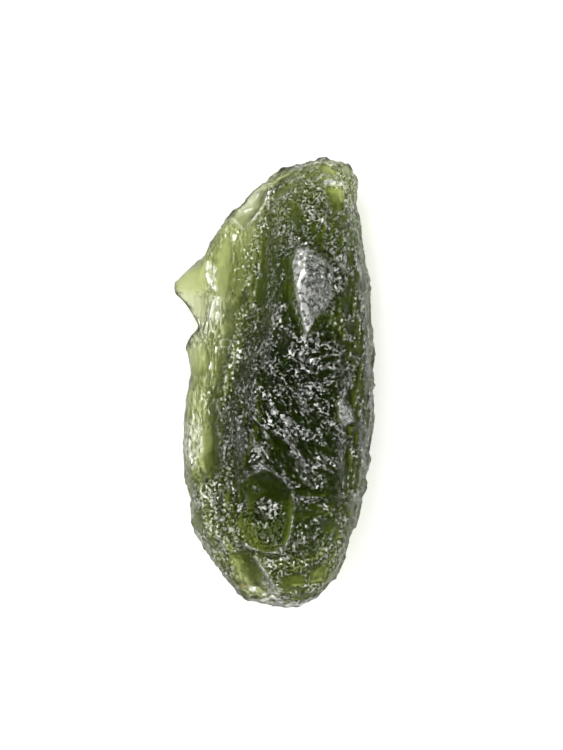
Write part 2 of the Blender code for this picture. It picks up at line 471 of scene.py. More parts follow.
@dataclass(frozen=True)
class EtchedGrain:
    """The tiny bowls and bright flecks that etching leaves on glass, and painted shade in the gaps
    between them.

    Scales are in waves per cell, and heights are in parts of the grain's depth.
    """

    name: str = "etched_grain"
    # Cells wander, so that no two look alike
    wander_scale: float = 0.6
    wander_reach: float = 1.6
    detail: float = 2.0
    # Flecks gather in clusters, with fewer of them between the clusters
    cluster_scale: float = 0.17
    cluster_from: float = 0.3
    cluster_to: float = 0.7
    fewest: float = 0.78
    most: float = 1.22
    # A fleck is where its noise passes a limit, and crowding lowers that limit
    fleck_scale: float = 1.05
    raggedness: float = 0.6
    limit: float = 0.75
    limit_fall: float = 0.38
    fleck_edge: float = 0.035
    # Each cell gives its flecks their own brightness, and most cells are dull
    dullness: float = 1.5
    brightest: float = 0.84
    faintest: float = 0.13
    # Where the gaps between the flecks begin and end; the glass darkens them as painted shade
    gap_from: float = 0.42
    gap_to: float = 0.58
    tilt_height: float = 1.8
    fleck_height: float = 1.2
    bowl_height: float = 0.6

    def build(self) -> bpy.types.ShaderNodeTree:
        """Makes the node group.

        Returns:
            A group that turns a place on the skin into the height of its grain, a mask of the tiny flecks
            that catch the light, and a mask of the gaps between them, which the glass darkens as painted
            shade.
        """
        group = bpy.data.node_groups.new(self.name, "ShaderNodeTree")
        ports = group.interface
        ports.new_socket("Place", in_out="INPUT", socket_type="NodeSocketVector")
        for name in ("Cell Size", "Crowding"):
            ports.new_socket(name, in_out="INPUT", socket_type="NodeSocketFloat")
        for name in ("Height", "Shine", "Gap Shade"):
            ports.new_socket(name, in_out="OUTPUT", socket_type="NodeSocketFloat")
        pen = NodePen(group)
        source = group.nodes.new("NodeGroupInput").outputs
        result = group.nodes.new("NodeGroupOutput").inputs

        scaling = pen.add("ShaderNodeVectorMath", {"operation": "SCALE"})
        pen.feed(scaling.inputs[0], source["Place"])
        pen.feed(scaling.inputs["Scale"], pen.maths("DIVIDE", 1.0, source["Cell Size"]))
        place = scaling.outputs[0]
        wander = pen.add("ShaderNodeTexNoise", Vector=place, Scale=self.wander_scale, Detail=self.detail)
        shifted = pen.vector("MULTIPLY_ADD", wander.outputs["Color"], (self.wander_reach,) * 3, place)
        cells = pen.add("ShaderNodeTexVoronoi", Vector=shifted, Scale=1.0)
        flecks = pen.add(
            "ShaderNodeTexNoise",
            Vector=shifted,
            Scale=self.fleck_scale,
            Detail=self.detail,
            Roughness=self.raggedness,
        ).outputs["Fac"]

        lit = self.lit_flecks(pen, place, flecks, source["Crowding"])
        chance = pen.add("ShaderNodeSeparateColor", Color=cells.outputs["Color"]).outputs[1]
        chance = pen.maths("POWER", chance, self.dullness)
        brightness = pen.maths("MULTIPLY_ADD", chance, self.brightest, self.faintest)
        pen.feed(result["Shine"], pen.maths("MULTIPLY", lit, brightness))
        # The gaps between the flecks, where the glass gets painted shade
        pen.feed(result["Gap Shade"], pen.step(flecks, self.gap_from, self.gap_to, 1.0, 0.0))
        pen.feed(result["Height"], self.height(pen, shifted, cells, flecks))
        return group

    def lit_flecks(self, pen: NodePen, place: Any, flecks: Any, crowding: Any) -> Any:
        """Where the flecks are.

        Args:
            pen: Writes into the group.
            place: The place on the skin, in cells.
            flecks: The noise that shapes the flecks.
            crowding: How much of the skin they cover.

        Returns:
            A mask, 1 on a fleck and 0 beside it.
        """
        cluster = pen.add(
            "ShaderNodeTexNoise", Vector=place, Scale=self.cluster_scale, Detail=self.detail
        ).outputs["Fac"]
        amount = pen.step(cluster, self.cluster_from, self.cluster_to, self.fewest, self.most)
        share = pen.maths("MULTIPLY", amount, crowding)
        limit = pen.maths("MULTIPLY_ADD", share, -self.limit_fall, self.limit)
        return pen.step(pen.maths("SUBTRACT", flecks, limit), 0.0, self.fleck_edge)

    def height(self, pen: NodePen, shifted: Any, cells: Any, flecks: Any) -> Any:
        """The grain's height: each cell is a small bowl that tilts its own way.

        Args:
            pen: Writes into the group.
            shifted: The wandering place on the skin, in cells.
            cells: The node that finds the nearest cell.
            flecks: The noise that shapes the flecks, which are finer grain.

        Returns:
            The height, in parts of the grain's depth.
        """
        bowl = pen.maths("MULTIPLY", cells.outputs["Distance"], cells.outputs["Distance"])
        tilt = pen.add("ShaderNodeVectorMath", {"operation": "DOT_PRODUCT"})
        pen.feed(tilt.inputs[0], pen.vector("SUBTRACT", shifted, cells.outputs["Position"]))
        pen.feed(tilt.inputs[1], pen.vector("SUBTRACT", cells.outputs["Color"], MIDDLE_GREY))
        bowls = pen.maths("MULTIPLY", bowl, self.bowl_height)
        grain = pen.maths("MULTIPLY_ADD", flecks, self.fleck_height, bowls)
        return pen.maths("MULTIPLY_ADD", tilt.outputs["Value"], self.tilt_height, grain)


@dataclass(frozen=True)
class TektiteGlass:
    """Clear green glass with an etched skin. Sizes are in metres, scales in waves per metre."""

    name: str = "tektite_glass"
    refraction: float = 1.49
    # How much the plain skin mirrors; flecks, frost and glints have their shine from the coat
    plain_shine: float = 0.03
    fleck_refraction: float = 3.8
    fleck_roughness: float = 0.3
    # What a metre of the glass takes from red, green and blue light
    taken_per_metre: Triple = (255.0, 212.0, 510.0)
    density_margin: float = 1.2
    # The glass's clear tint, the painted shade of the gaps between the flecks, and the colour of rust
    # stains
    clear: Colour = (1.0, 1.0, 0.88, 1.0)
    shaded: Colour = (0.08, 0.1, 0.03, 1.0)
    rust: Colour = (0.75, 0.3, 0.05, 1.0)
    # Cells of the round grain, and of the other two kinds as shares of them
    cell_size: float = 0.00024
    flow_size: float = 0.8
    slant_size: float = 0.9
    drawn_out: float = 3.4
    slant_degrees: float = -52.0
    crowding: float = 0.66
    grain_depth: float = 0.00008
    roughness_low: float = 0.28
    roughness_high: float = 0.34
    # The sheet.
    full_grain: float = 0.8
    # Bruised glass is frosted all over, but unevenly, and its skin is rubbly
    bruise_scale: float = 3200.0
    bruise_detail: float = 3.0
    bruise_from: float = 0.4
    bruise_to: float = 0.6
    frost_least: float = 0.12
    frost_most: float = 1.1
    rubble: float = 2.6
    # Bright crests are broken into stretches
    stretch_scale: float = 2300.0
    stretch_detail: float = 1.0
    stretch_from: float = 0.35
    stretch_to: float = 0.62
    glint_least: float = 0.1
    glint_most: float = 1.2

    def build(self, grain_group: bpy.types.ShaderNodeTree) -> bpy.types.Material:
        """Makes the material.

        Args:
            grain_group: The group from EtchedGrain.

        Returns:
            The finished glass.
        """
        material, tree, shader = new_material(self.name)
        pen = NodePen(tree)
        for socket, value in (
            ("Metallic", 0.0),
            ("Transmission Weight", 1.0),
            ("IOR", self.refraction),
            ("Specular Tint", (self.plain_shine, self.plain_shine, self.plain_shine, 1.0)),
            ("Coat Roughness", self.fleck_roughness),
            ("Coat IOR", self.fleck_refraction),
        ):
            shader.inputs[socket].default_value = value
        place = pen.add("ShaderNodeTexCoord").outputs["Object"]
        masks = {
            mask: pen.add("ShaderNodeAttribute", {"attribute_name": mask.value}).outputs["Fac"]
            for mask in Mask
        }
        flecks, height, gap_shade = self.etch(pen, grain_group, place, masks)
        bruise = pen.add(
            "ShaderNodeTexNoise", Vector=place, Scale=self.bruise_scale, Detail=self.bruise_detail
        ).outputs["Fac"]
        shine = self.shine(pen, place, masks, flecks, bruise)
        pen.feed(shader.inputs["Coat Weight"], shine)

        rubble = pen.maths("MULTIPLY", bruise, masks[Mask.FROST])
        height = pen.maths("MULTIPLY_ADD", rubble, self.rubble, height)
        bump = pen.add("ShaderNodeBump", Strength=1.0, Distance=self.grain_depth, Height=height)
        pen.feed(shader.inputs["Normal"], bump.outputs["Normal"])
        rough = pen.step(masks[Mask.GRAIN], 0.0, self.full_grain, self.roughness_low, self.roughness_high)
        pen.feed(shader.inputs["Roughness"], rough)

        # The gaps between the flecks get painted shade, a darker tint of the glass, and rust stains the
        # glass
        body = pen.mix(gap_shade, self.clear, self.shaded)
        pen.feed(shader.inputs["Base Color"], pen.mix(masks[Mask.RUST], body, self.rust))
        self.deepen(pen, tree)
        return material

    def etch(
        self, pen: NodePen, grain_group: bpy.types.ShaderNodeTree, place: Any, masks: dict[Mask, Any]
    ) -> tuple[Any, Any, Any]:
        """Lays the three kinds of grain: round, along the stone, and slantwise.

        Args:
            pen: Writes into the material.
            grain_group: The group from EtchedGrain.
            place: The place on the stone.
            masks: How much of each kind there is.

        Returns:
            The shine of the flecks, the height of the grain, and the mask of its gaps, which get painted
            shade.
        """
        turn = pen.add("ShaderNodeVectorRotate", {"rotation_type": "Z_AXIS"}, Vector=place)
        turn.inputs["Angle"].default_value = math.radians(90.0 - self.slant_degrees)
        squeeze = (1.0, 1.0 / self.drawn_out, 1.0)
        flow_place = pen.vector("MULTIPLY", place, squeeze)
        slant_place = pen.vector("MULTIPLY", turn.outputs[0], squeeze)
        flecks, height, gap_shade = 0.0, 0.0, 0.0
        for mask, where, size in (
            (Mask.GRAIN, place, self.cell_size),
            (Mask.FLOW, flow_place, self.cell_size * self.flow_size),
            (Mask.SLANT, slant_place, self.cell_size * self.slant_size),
        ):
            grain = pen.add("ShaderNodeGroup", {"node_tree": grain_group}, Place=where, Cell_Size=size)
            pen.feed(grain.inputs["Crowding"], pen.maths("MULTIPLY", masks[mask], self.crowding))
            flecks = pen.maths("MAXIMUM", flecks, grain.outputs["Shine"])
            height = pen.maths("ADD", height, pen.maths("MULTIPLY", grain.outputs["Height"], masks[mask]))
            gap_shade = pen.maths("MAXIMUM", gap_shade, pen.maths("MULTIPLY", grain.outputs["Gap Shade"], masks[mask]))
        return flecks, height, gap_shade

    def shine(self, pen: NodePen, place: Any, masks: dict[Mask, Any], flecks: Any, bruise: Any) -> Any:
        """What catches the light: flecks, frosted bruises and bright crests.

        Args:
            pen: Writes into the material.
            place: The place on the stone.
            masks: How much frost and glint there is.
            flecks: The shine of the flecks.
            bruise: The noise of bruised glass.

        Returns:
            The weight of the coat.
        """
        unevenly = pen.step(bruise, self.bruise_from, self.bruise_to, self.frost_least, self.frost_most)
        frost = pen.maths("MULTIPLY", masks[Mask.FROST], unevenly)
        broken = pen.add(
            "ShaderNodeTexNoise", Vector=place, Scale=self.stretch_scale, Detail=self.stretch_detail
        ).outputs["Fac"]
        stretches = pen.step(
            broken, self.stretch_from, self.stretch_to, self.glint_least, self.glint_most
        )
        glint = pen.maths("MULTIPLY", masks[Mask.GLINT], stretches)
        shining = pen.maths("MAXIMUM", pen.maths("MAXIMUM", flecks, frost), glint)
        return pen.maths("MINIMUM", shining, 1.0)

    def deepen(self, pen: NodePen, tree: bpy.types.ShaderNodeTree) -> None:
        """Lets the inside of the glass take up light, so that thick parts are dark.

        Args:
            pen: Writes into the material.
            tree: The material's nodes.
        """
        density = max(self.taken_per_metre) * self.density_margin
        depth = pen.add("ShaderNodeVolumeAbsorption", Density=density)
        depth.inputs["Color"].default_value = (
            *(1.0 - taken / density for taken in self.taken_per_metre),
            1.0,
        )
        pen.feed(tree.nodes["Material Output"].inputs["Volume"], depth.outputs["Volume"])


@dataclass(frozen=True)
class WhitePaper:
    """The plain ground under the stone."""

    name: str = "white_paper"
    colour: Triple = (0.76, 0.76, 0.76)
    roughness: float = 0.9
    # Waves per metre of the paper's tooth, and its depth in metres
    tooth_scale: float = 4000.0
    tooth_depth: float = 0.00001

    def build(self) -> bpy.types.Material:
        """Makes the material, with a trace of paper tooth.

        Returns:
            The finished paper.
        """
        material, tree, shader = new_material(self.name)
        shader.inputs["Base Color"].default_value = (*self.colour, 1.0)
        shader.inputs["Roughness"].default_value = self.roughness
        pen = NodePen(tree)
        place = pen.add("ShaderNodeTexCoord").outputs["Object"]
        tooth = pen.add("ShaderNodeTexNoise", Vector=place, Scale=self.tooth_scale)
        bump = pen.add("ShaderNodeBump", Distance=self.tooth_depth, Height=tooth.outputs["Fac"])
        pen.feed(shader.inputs["Normal"], bump.outputs["Normal"])
        return material


# The forms of the stone

# How much grain of each kind a form has
SMOOTH = {Mask.GRAIN: 0.05, Mask.FLOW: 0.05, Mask.SLANT: 0.0}
SPARSE = {Mask.GRAIN: 0.3, Mask.FLOW: 0.1, Mask.SLANT: 0.0}
DENSE = {Mask.GRAIN: 0.95, Mask.FLOW: 0.15, Mask.SLANT: 0.0}

PATCHES = (
    # The pale scar, and the hollow and the spur below it
    Patch(
        "pale scar",
        ((296, 250), (305, 246), (316, 252), (327, 261), (332, 272), (331, 288), (329, 302), (324, 315),
         (316, 323), (311, 331), (306, 338), (303, 325), (299, 308), (295, 292), (291, 278), (291, 262)),
        height=0.4, width=0.22, looks={Mask.FROST: 0.28, Mask.GRAIN: 1.0},
    ),
    Patch(
        "pale band of the scar",
        ((297, 255), (308, 250), (306, 270), (306, 290), (309, 310), (311, 330), (306, 337), (303, 325),
         (297, 292), (292, 266)),
        height=0.1, width=0.2, edge=Edge.SOFT, looks={Mask.FROST: 1.35},
    ),
    Patch(
        "dull top of the scar",
        ((309, 258), (322, 261), (323, 270), (311, 272)),
        height=-0.1, width=0.3, edge=Edge.SOFT, looks={Mask.FROST: 0.35},
    ),
    Patch(
        "round pit in the scar",
        ((314, 274), (321, 273), (323, 281), (316, 284)),
        height=-0.3, width=0.25, looks={Mask.FROST: 0.12},
    ),
    Patch(
        "pit at the scar's edge",
        ((325, 268), (330, 272), (329, 282), (325, 280)),
        height=-0.2, width=0.2, looks={Mask.FROST: 0.12},
    ),
    Patch(
        "rib across the scar",
        ((306, 287), (313, 289), (316, 299), (307, 297)),
        height=0.12, width=0.3, edge=Edge.SOFT, looks={Mask.FROST: 0.9},
    ),
    Patch(
        "dip low in the scar",
        ((310, 302), (326, 297), (324, 308), (312, 313)),
        height=-0.12, width=0.3, edge=Edge.SOFT, looks={Mask.FROST: 0.3},
    ),
    Patch(
        "hollow below the scar",
        ((319, 320), (331, 312), (336, 322), (340, 335), (334, 344), (321, 343), (312, 338), (310, 331)),
        height=-0.35, width=0.5, looks={Mask.GRAIN: 0.6},
    ),
    Patch(
        "spur",
        ((334, 402), (340, 396), (346, 400), (349, 411), (354, 420), (345, 426), (337, 420)),
        height=0.35, width=0.3, looks={Mask.FROST: 0.7, Mask.GRAIN: 1.2},
    ),
    Patch(
        "shaded side of the spur",
        ((347, 390), (353, 388), (356, 400), (355, 412), (350, 408)),
        height=-0.3, width=0.3, looks=SPARSE,
    ),
    Patch(
        "shade below the spur",
        ((344, 426), (351, 425), (352, 434), (346, 436)),
        height=-0.2, width=0.25, looks=SMOOTH,
    ),
    # The thumbprint comes first, and the forms that lie in it or beside it after it
    Patch(
        "thumbprint",
        ((242, 483), (250, 472), (266, 468), (280, 475), (291, 487), (294, 503), (291, 528), (285, 548),
         (268, 552), (250, 545), (239, 530), (234, 505)),
        height=-0.4, width=0.8, looks={Mask.GRAIN: 1.0, Mask.FLOW: 0.1, Mask.SLANT: 0.0},
    ),
    Patch(
        "smooth top of the thumbprint",
        ((240, 486), (252, 475), (268, 472), (282, 480), (289, 492), (290, 512), (280, 502), (264, 493),
         (252, 500), (240, 498)),
        height=-0.05, width=0.9, edge=Edge.SOFT, looks=SMOOTH,
    ),
    Patch(
        "smooth edge of the thumbprint",
        ((286, 490), (291, 490), (293, 520), (287, 541), (281, 546), (286, 520)),
        height=-0.1, width=0.4, edge=Edge.SOFT, looks=SMOOTH,
    ),
    Patch(
        "knob in the thumbprint",
        ((250, 485), (258, 484), (264, 490), (256, 494)),
        height=0.06, width=0.3, edge=Edge.SOFT, looks={Mask.GRAIN: 1.0},
    ),
    Patch(
        "gash beside the thumbprint",
        ((291, 488), (306, 486), (324, 490), (325, 496), (308, 496), (292, 494)),
        height=-0.3, width=0.3, looks=SMOOTH,
    ),
    Patch(
        "green strip",
        ((294, 509), (310, 507), (328, 508), (328, 513), (314, 515), (296, 514)),
        height=-0.15, width=0.2, looks=SMOOTH,
    ),
    Patch(
        "lobed hollow",
        ((291, 518), (312, 518), (330, 520), (334, 532), (328, 548), (314, 561), (299, 561), (288, 549)),
        height=-0.25, width=0.6, looks={Mask.GRAIN: 0.8, Mask.FLOW: 0.1, Mask.SLANT: 0.0},
    ),
    Patch(
        "clear corner of the lobed hollow",
        ((318, 517), (333, 516), (335, 530), (324, 534)),
        height=-0.25, width=0.4, looks=SPARSE,
    ),
    # The low end
    Patch(
        "bright wedge",
        ((234, 556), (249, 554), (259, 572), (265, 592), (252, 594), (239, 580)),
        height=-1.25, width=1.0, edge=Edge.SOFT, looks=SPARSE,
    ),
    Patch(
        "right facet of the low end",
        ((307, 566), (318, 563), (328, 567), (324, 580), (310, 583)),
        height=-0.2, width=0.35, looks=SMOOTH,
    ),
    Patch(
        "middle facet of the low end",
        ((288, 574), (301, 572), (303, 582), (290, 586)),
        height=-0.12, width=0.3, edge=Edge.SOFT, looks=SMOOTH,
    ),
    Patch(
        "clear foot of the blade",
        ((203, 432), (212, 428), (219, 446), (216, 462), (206, 474), (201, 460)),
        height=-0.15, width=0.4, edge=Edge.SOFT, looks=SMOOTH,
    ),
    # The shoulder and the blunt end
    Patch(
        "chip",
        ((258, 188), (263, 185), (268, 189), (266, 200), (260, 211), (253, 220), (243, 230), (236, 227),
         (233, 217), (243, 205)),
        height=-0.12, width=0.4, looks={Mask.GRAIN: 0.05, Mask.FLOW: 0.1, Mask.SLANT: 0.0},
    ),
    Patch(
        "speckled lump",
        ((296, 200), (300, 186), (312, 181), (324, 188), (330, 204), (328, 220), (316, 226), (303, 220)),
        height=0.15, width=0.5, edge=Edge.SOFT, looks=DENSE,
    ),
    Patch(
        "green facet",
        ((327, 190), (342, 189), (346, 200), (341, 212), (332, 210)),
        height=-0.35, width=0.4, looks=SMOOTH,
    ),
    Patch(
        "left pale facet",
        ((317, 168), (326, 165), (336, 170), (334, 179), (322, 180)),
        height=-0.4, width=0.4, looks=SMOOTH,
    ),
    Patch(
        "right pale facet",
        ((342, 164), (350, 162), (354, 170), (350, 179), (343, 176)),
        height=-0.4, width=0.35, looks=SMOOTH,
    ),
    # The blade and its thorn
    Patch(
        "ragged rim of the blade",
        ((185, 424), (193, 416), (202, 428), (203, 450), (197, 468), (188, 466), (184, 445)),
        height=0.05, width=0.4, edge=Edge.SOFT, looks={Mask.FROST: 0.5, Mask.FLOW: 1.0},
    ),
    Patch(
        "lower facet of the thorn",
        ((172, 289), (194, 291), (205, 300), (205, 318), (190, 314), (176, 300)),
        height=-0.1, width=0.3, edge=Edge.SOFT, looks=SMOOTH,
    ),
    Patch(
        "upper facet of the thorn",
        ((165, 289), (180, 276), (196, 267), (205, 262), (205, 291), (194, 291)),
        height=0.5, width=0.5, edge=Edge.SOFT, looks=SMOOTH,
    ),
    Patch(
        "root of the blade",
        ((230, 312), (250, 292), (260, 330), (258, 420), (240, 480), (219, 474), (216, 430), (215, 398),
         (226, 360)),
        height=0.85, width=0.9, edge=Edge.SOFT, looks={Mask.GRAIN: 0.8},
    ),
    Patch(
        "swell at the lower left",
        ((192, 478), (222, 470), (232, 520), (228, 552), (206, 536)),
        height=0.6, width=1.0, edge=Edge.SOFT, looks={Mask.GRAIN: 0.9},
    ),
    Patch(
        "upper ring pit",
        ((222, 325), (229, 322), (235, 327), (234, 334), (228, 337), (222, 333)),
        height=-0.2, width=0.3, edge=Edge.SOFT, looks=SMOOTH,
    ),
    Patch(
        "lower ring pit",
        ((222, 341), (226, 339), (230, 341), (230, 346), (226, 348), (222, 346)),
        height=-0.25, width=0.2, looks=SMOOTH,
    ),
    Patch(
        "clear stretch above the thorn",
        ((218, 255), (228, 240), (232, 270), (226, 300), (218, 300)),
        height=-0.1, width=0.6, edge=Edge.SOFT, looks=SMOOTH,
    ),
    Patch(
        "clear stretch below the thorn",
        ((190, 350), (205, 345), (208, 365), (196, 380), (189, 370)),
        height=-0.1, width=0.5, edge=Edge.SOFT, looks=SMOOTH,
    ),
)

TRAILS = (
    # Crests that catch the light
    Trail(
        "left crest of the scar",
        ((292, 262), (293, 275), (296, 292), (300, 310), (306, 336)),
        height=0.12, half_width=0.17, looks={Mask.GLINT: 1.2},
    ),
    Trail(
        "top crest of the scar",
        ((298, 254), (306, 248), (314, 252)),
        height=0.1, half_width=0.15, looks={Mask.GLINT: 0.7},
    ),
    Trail(
        "right crest of the scar",
        ((331, 270), (331, 288), (328, 303), (321, 318)),
        height=0.1, half_width=0.14, looks={Mask.GLINT: 0.5},
    ),
    Trail(
        "crest of the chip",
        ((268, 189), (266, 200), (260, 211), (253, 220), (243, 231)),
        height=0.15, half_width=0.16, looks={Mask.GLINT: 0.7},
    ),
    Trail(
        "upper crest of the core",
        ((290, 387), (297, 394), (305, 402)),
        height=0.18, half_width=0.14, looks={Mask.GLINT: 0.6},
    ),
    Trail(
        "short crest of the core",
        ((248, 406), (258, 411)),
        height=0.1, half_width=0.14, looks={Mask.GLINT: 0.4},
    ),
    Trail(
        "slanting crest of the core",
        ((254, 417), (267, 435), (274, 447)),
        height=0.2, half_width=0.16, looks={Mask.GLINT: 0.6},
    ),
    Trail(
        "top rim of the thumbprint",
        ((263, 466), (280, 477), (291, 487)),
        height=0.2, half_width=0.16, looks={Mask.GLINT: 0.5},
    ),
    Trail(
        "upper left rim of the thumbprint",
        ((242, 482), (252, 472), (262, 469)),
        height=0.15, half_width=0.16, looks={Mask.GLINT: 0.3},
    ),
    Trail(
        "ledge above the gash",
        ((300, 476), (310, 485)),
        height=0.15, half_width=0.14, looks={Mask.GLINT: 0.4},
    ),
    Trail(
        "right rim of the thumbprint",
        ((292, 492), (293, 507), (290, 530), (285, 548)),
        height=0.22, half_width=0.18, looks={Mask.GLINT: 0.55},
    ),
    Trail(
        "ledge at the foot of the blade",
        ((215, 402), (218, 412), (217, 425), (220, 438), (219, 448)),
        height=0.2, half_width=0.14, looks={Mask.GLINT: 0.4},
    ),
    Trail(
        "low rim of the thumbprint",
        ((236, 541), (246, 545), (258, 550), (284, 554), (292, 558)),
        height=0.2, half_width=0.2, looks={Mask.GLINT: 0.3},
    ),
    Trail(
        "crest beside the wedge",
        ((255, 556), (263, 567), (271, 580), (275, 590)),
        height=0.3, half_width=0.25, looks={Mask.GLINT: 0.5},
    ),
    Trail(
        "crest of the spur",
        ((345, 392), (341, 405), (346, 414), (353, 421)),
        height=0.15, half_width=0.16, looks={Mask.GLINT: 0.6},
    ),
    Trail("ridge of the thorn", ((174, 289), (194, 292)), height=0.1, half_width=0.16),
    # Bright breaks and streaks
    Trail(
        "bright break at the green facet",
        ((327, 184), (341, 183)),
        height=0.1, half_width=0.3, looks={Mask.GLINT: 2.2},
    ),
    Trail(
        "bright break below the wedge",
        ((246, 587), (257, 590)),
        height=0.1, half_width=0.24, looks={Mask.GLINT: 2.0},
    ),
    Trail(
        "upper break of the low end",
        ((262, 594), (270, 590), (278, 593)),
        height=0.2, half_width=0.2, looks={Mask.GLINT: 1.6},
    ),
    Trail(
        "lower break of the low end",
        ((262, 600), (271, 595), (282, 600)),
        height=0.2, half_width=0.2, looks={Mask.GLINT: 1.4},
    ),
    Trail(
        "right break of the low end",
        ((286, 606), (294, 602), (302, 604)),
        height=0.15, half_width=0.2, looks={Mask.GLINT: 1.2},
    ),
    Trail(
        "crest of the left pale facet",
        ((314, 165), (326, 163), (338, 168)),
        height=0.15, half_width=0.16, looks={Mask.GLINT: 1.0},
    ),
    Trail(
        "break below the left pale facet",
        ((316, 182), (322, 176), (336, 178)),
        height=0.12, half_width=0.16, looks={Mask.GLINT: 0.9},
    ),
    Trail(
        "crest of the right pale facet",
        ((345, 160), (354, 166), (356, 178)),
        height=0.1, half_width=0.2, looks={Mask.GLINT: 0.8},
    ),
    Trail(
        "bright streak above the thorn",
        ((208, 264), (209, 274), (212, 288)),
        height=0.15, half_width=0.3, looks={Mask.GLINT: 1.3},
    ),
    Trail(
        "thin streak above the thorn",
        ((214, 268), (216, 280), (215, 290)),
        height=0.1, half_width=0.22, looks={Mask.GLINT: 1.1},
    ),
    Trail(
        "bright streak below the thorn",
        ((214, 301), (213, 308), (210, 320)),
        height=0.12, half_width=0.24, looks={Mask.GLINT: 1.3},
    ),
    Trail(
        "thin streak below the thorn",
        ((218, 298), (218, 312), (216, 322)),
        height=0.12, half_width=0.2, looks={Mask.GLINT: 1.1},
    ),
    Trail(
        "rim of the lower ring pit",
        ((222, 340), (226, 338), (230, 340), (231, 345), (227, 349), (222, 347), (221, 342)),
        height=0.06, half_width=0.14, looks={Mask.GLINT: 0.6},
    ),
    Trail(
        "glint at the lower left",
        ((220, 520), (223, 519)),
        height=0.1, half_width=0.25, looks={Mask.GLINT: 0.9},
    ),
    # Cracks and lines by the chip
    Trail(
        "crack by the chip",
        ((228, 219), (236, 224), (243, 229)),
        height=-0.25, half_width=0.22, looks={Mask.GLINT: 0.4},
    ),
    Trail("furrow of the chip", ((266, 205), (258, 216), (244, 229)), height=-0.12, half_width=0.18),
    Trail(
        "bright line in the chip",
        ((250, 202), (258, 195)),
        height=0.1, half_width=0.22, looks={Mask.GLINT: 0.7},
    ),
    Trail(
        "short line in the chip",
        ((245, 212), (251, 209)),
        height=0.1, half_width=0.16, looks={Mask.GLINT: 0.6},
    ),
    # Dark furrows
    Trail(
        "furrow left of the thumbprint",
        ((233, 455), (236, 480), (235, 510)),
        height=-0.2, half_width=0.3,
    ),
    Trail("slanting furrow", ((268, 432), (277, 446), (284, 456)), height=-0.25, half_width=0.4),
    Trail(
        "furrow at the root of the blade",
        ((240, 398), (247, 418), (252, 440)),
        height=-0.2, half_width=0.35,
    ),
    Trail("furrow below the scar", ((283, 340), (290, 362), (300, 380)), height=-0.15, half_width=0.4),
    Trail(
        "furrow left of the scar",
        ((287, 262), (287, 285), (291, 310), (299, 335)),
        height=-0.25, half_width=0.4, looks={Mask.GRAIN: -0.6},
    ),
    Trail(
        "furrow on the right flank",
        ((337, 300), (338, 330), (345, 360)),
        height=-0.2, half_width=0.4, looks={Mask.GRAIN: -0.3},
    ),
    Trail("furrow above the wedge", ((225, 536), (240, 552), (244, 560)), height=-0.2, half_width=0.3),
    # Stains
    Trail(
        "stain on the scar",
        ((291, 279), (292, 285)),
        height=0.0, half_width=0.16, looks={Mask.RUST: 0.9},
    ),
    Trail(
        "stain at the low end",
        ((238, 588), (245, 584)),
        height=0.0, half_width=0.2, looks={Mask.RUST: 0.9, Mask.GLINT: 0.5},
    ),
    Trail(
        "stain beside the core",
        ((225, 415), (226, 415)),
        height=0.0, half_width=0.14, looks={Mask.RUST: 0.9, Mask.GLINT: 0.4},
    ),
)

FOLDS = (
    Folds("upper core", Oval((322, 380), 32, 34), run=8.0, spacing=0.55, height=0.15),
    Folds("slanting core", Oval((278, 440), 44, 60), run=-52.0, spacing=0.55, height=0.15),
    Folds("right core", Oval((318, 450), 32, 42), run=-40.0, spacing=0.6, height=0.14),
    Folds("left of the thumbprint", Oval((238, 460), 18, 80), run=88.0, spacing=0.45, height=0.12),
    Folds("right rim", Oval((357, 390), 18, 200), run=90.0, spacing=0.4, height=0.15),
    Folds("blade", Oval((214, 330), 34, 120), run=86.0, spacing=0.32, height=0.07),
    Folds("strip beside the thumbprint", Oval((312, 501), 26, 14), run=3.0, spacing=0.38, height=0.1),
    Folds("lower left rim", Oval((203, 515), 22, 66), run=-68.0, spacing=0.4, height=0.14),
    Folds("lower right", Oval((335, 560), 26, 44), run=62.0, spacing=0.4, height=0.13),
    Folds("low end", Oval((285, 595), 48, 16), run=4.0, spacing=0.4, height=0.13),
    Folds("left of the scar", Oval((272, 290), 24, 70), run=84.0, spacing=0.45, height=0.1),
    Folds("above the scar", Oval((320, 230), 34, 40), run=70.0, spacing=0.5, height=0.12),
    Folds("blunt end", Oval((300, 185), 36, 26), run=20.0, spacing=0.5, height=0.1),
)

# The blade is clear and has little grain, but fine streaks along the stone
BLADE = Patch(
    "blade",
    ((262, 186), (236, 215), (200, 255), (166, 288), (178, 312), (178, 345), (176, 400), (174, 440),
     (196, 478), (214, 468), (217, 440), (219, 400), (229, 350), (238, 300), (244, 250), (258, 216)),
    height=0.0, width=1.8, edge=Edge.SOFT, looks={Mask.GRAIN: 0.12, Mask.FLOW: 0.75, Mask.SLANT: 0.0},
)

# How much round grain the upper face has, how much grain the sides have, and where more lies
ROUND_GRAIN = 0.92
SIDE_GRAIN = {Mask.GRAIN: 0.5, Mask.FLOW: 0.12}
GRAIN_ZONES = (
    GrainZone("right rim", Oval((360, 390), 17, 230), Mask.FLOW, 0.22),
    GrainZone("lower left rim", Oval((203, 510), 22, 90), Mask.FLOW, 0.3),
    GrainZone("left of the scar", Oval((258, 300), 18, 110), Mask.FLOW, 0.35),
    GrainZone("slanting core", Oval((285, 450), 55, 70), Mask.SLANT, 0.45),
)

# The clear glass of the blade and of the chip is levelled before the forms are added
PLAIN_STRETCHES = (
    PlainStretch("thorn and blade", Oval((203, 308), 44, 46), 90),
    PlainStretch("chip", Oval((250, 208), 26, 30), 60),
)

# The etching of the whole stone, coarse and then fine
BOWLS = (
    Bowls(spacing=(0.95, 1.235, 0.95), depth=0.17, seed=5.0),
    Bowls(spacing=(0.475, 0.589, 0.475), depth=0.068, seed=11.0),
)

RIPPLES = (
    Ripples(spacing=(1.4, 2.4, 1.4), height=0.06, seed=3.0),
    Ripples(spacing=(0.42, 0.5, 0.42), height=0.07, seed=17.0),
)


# The stone


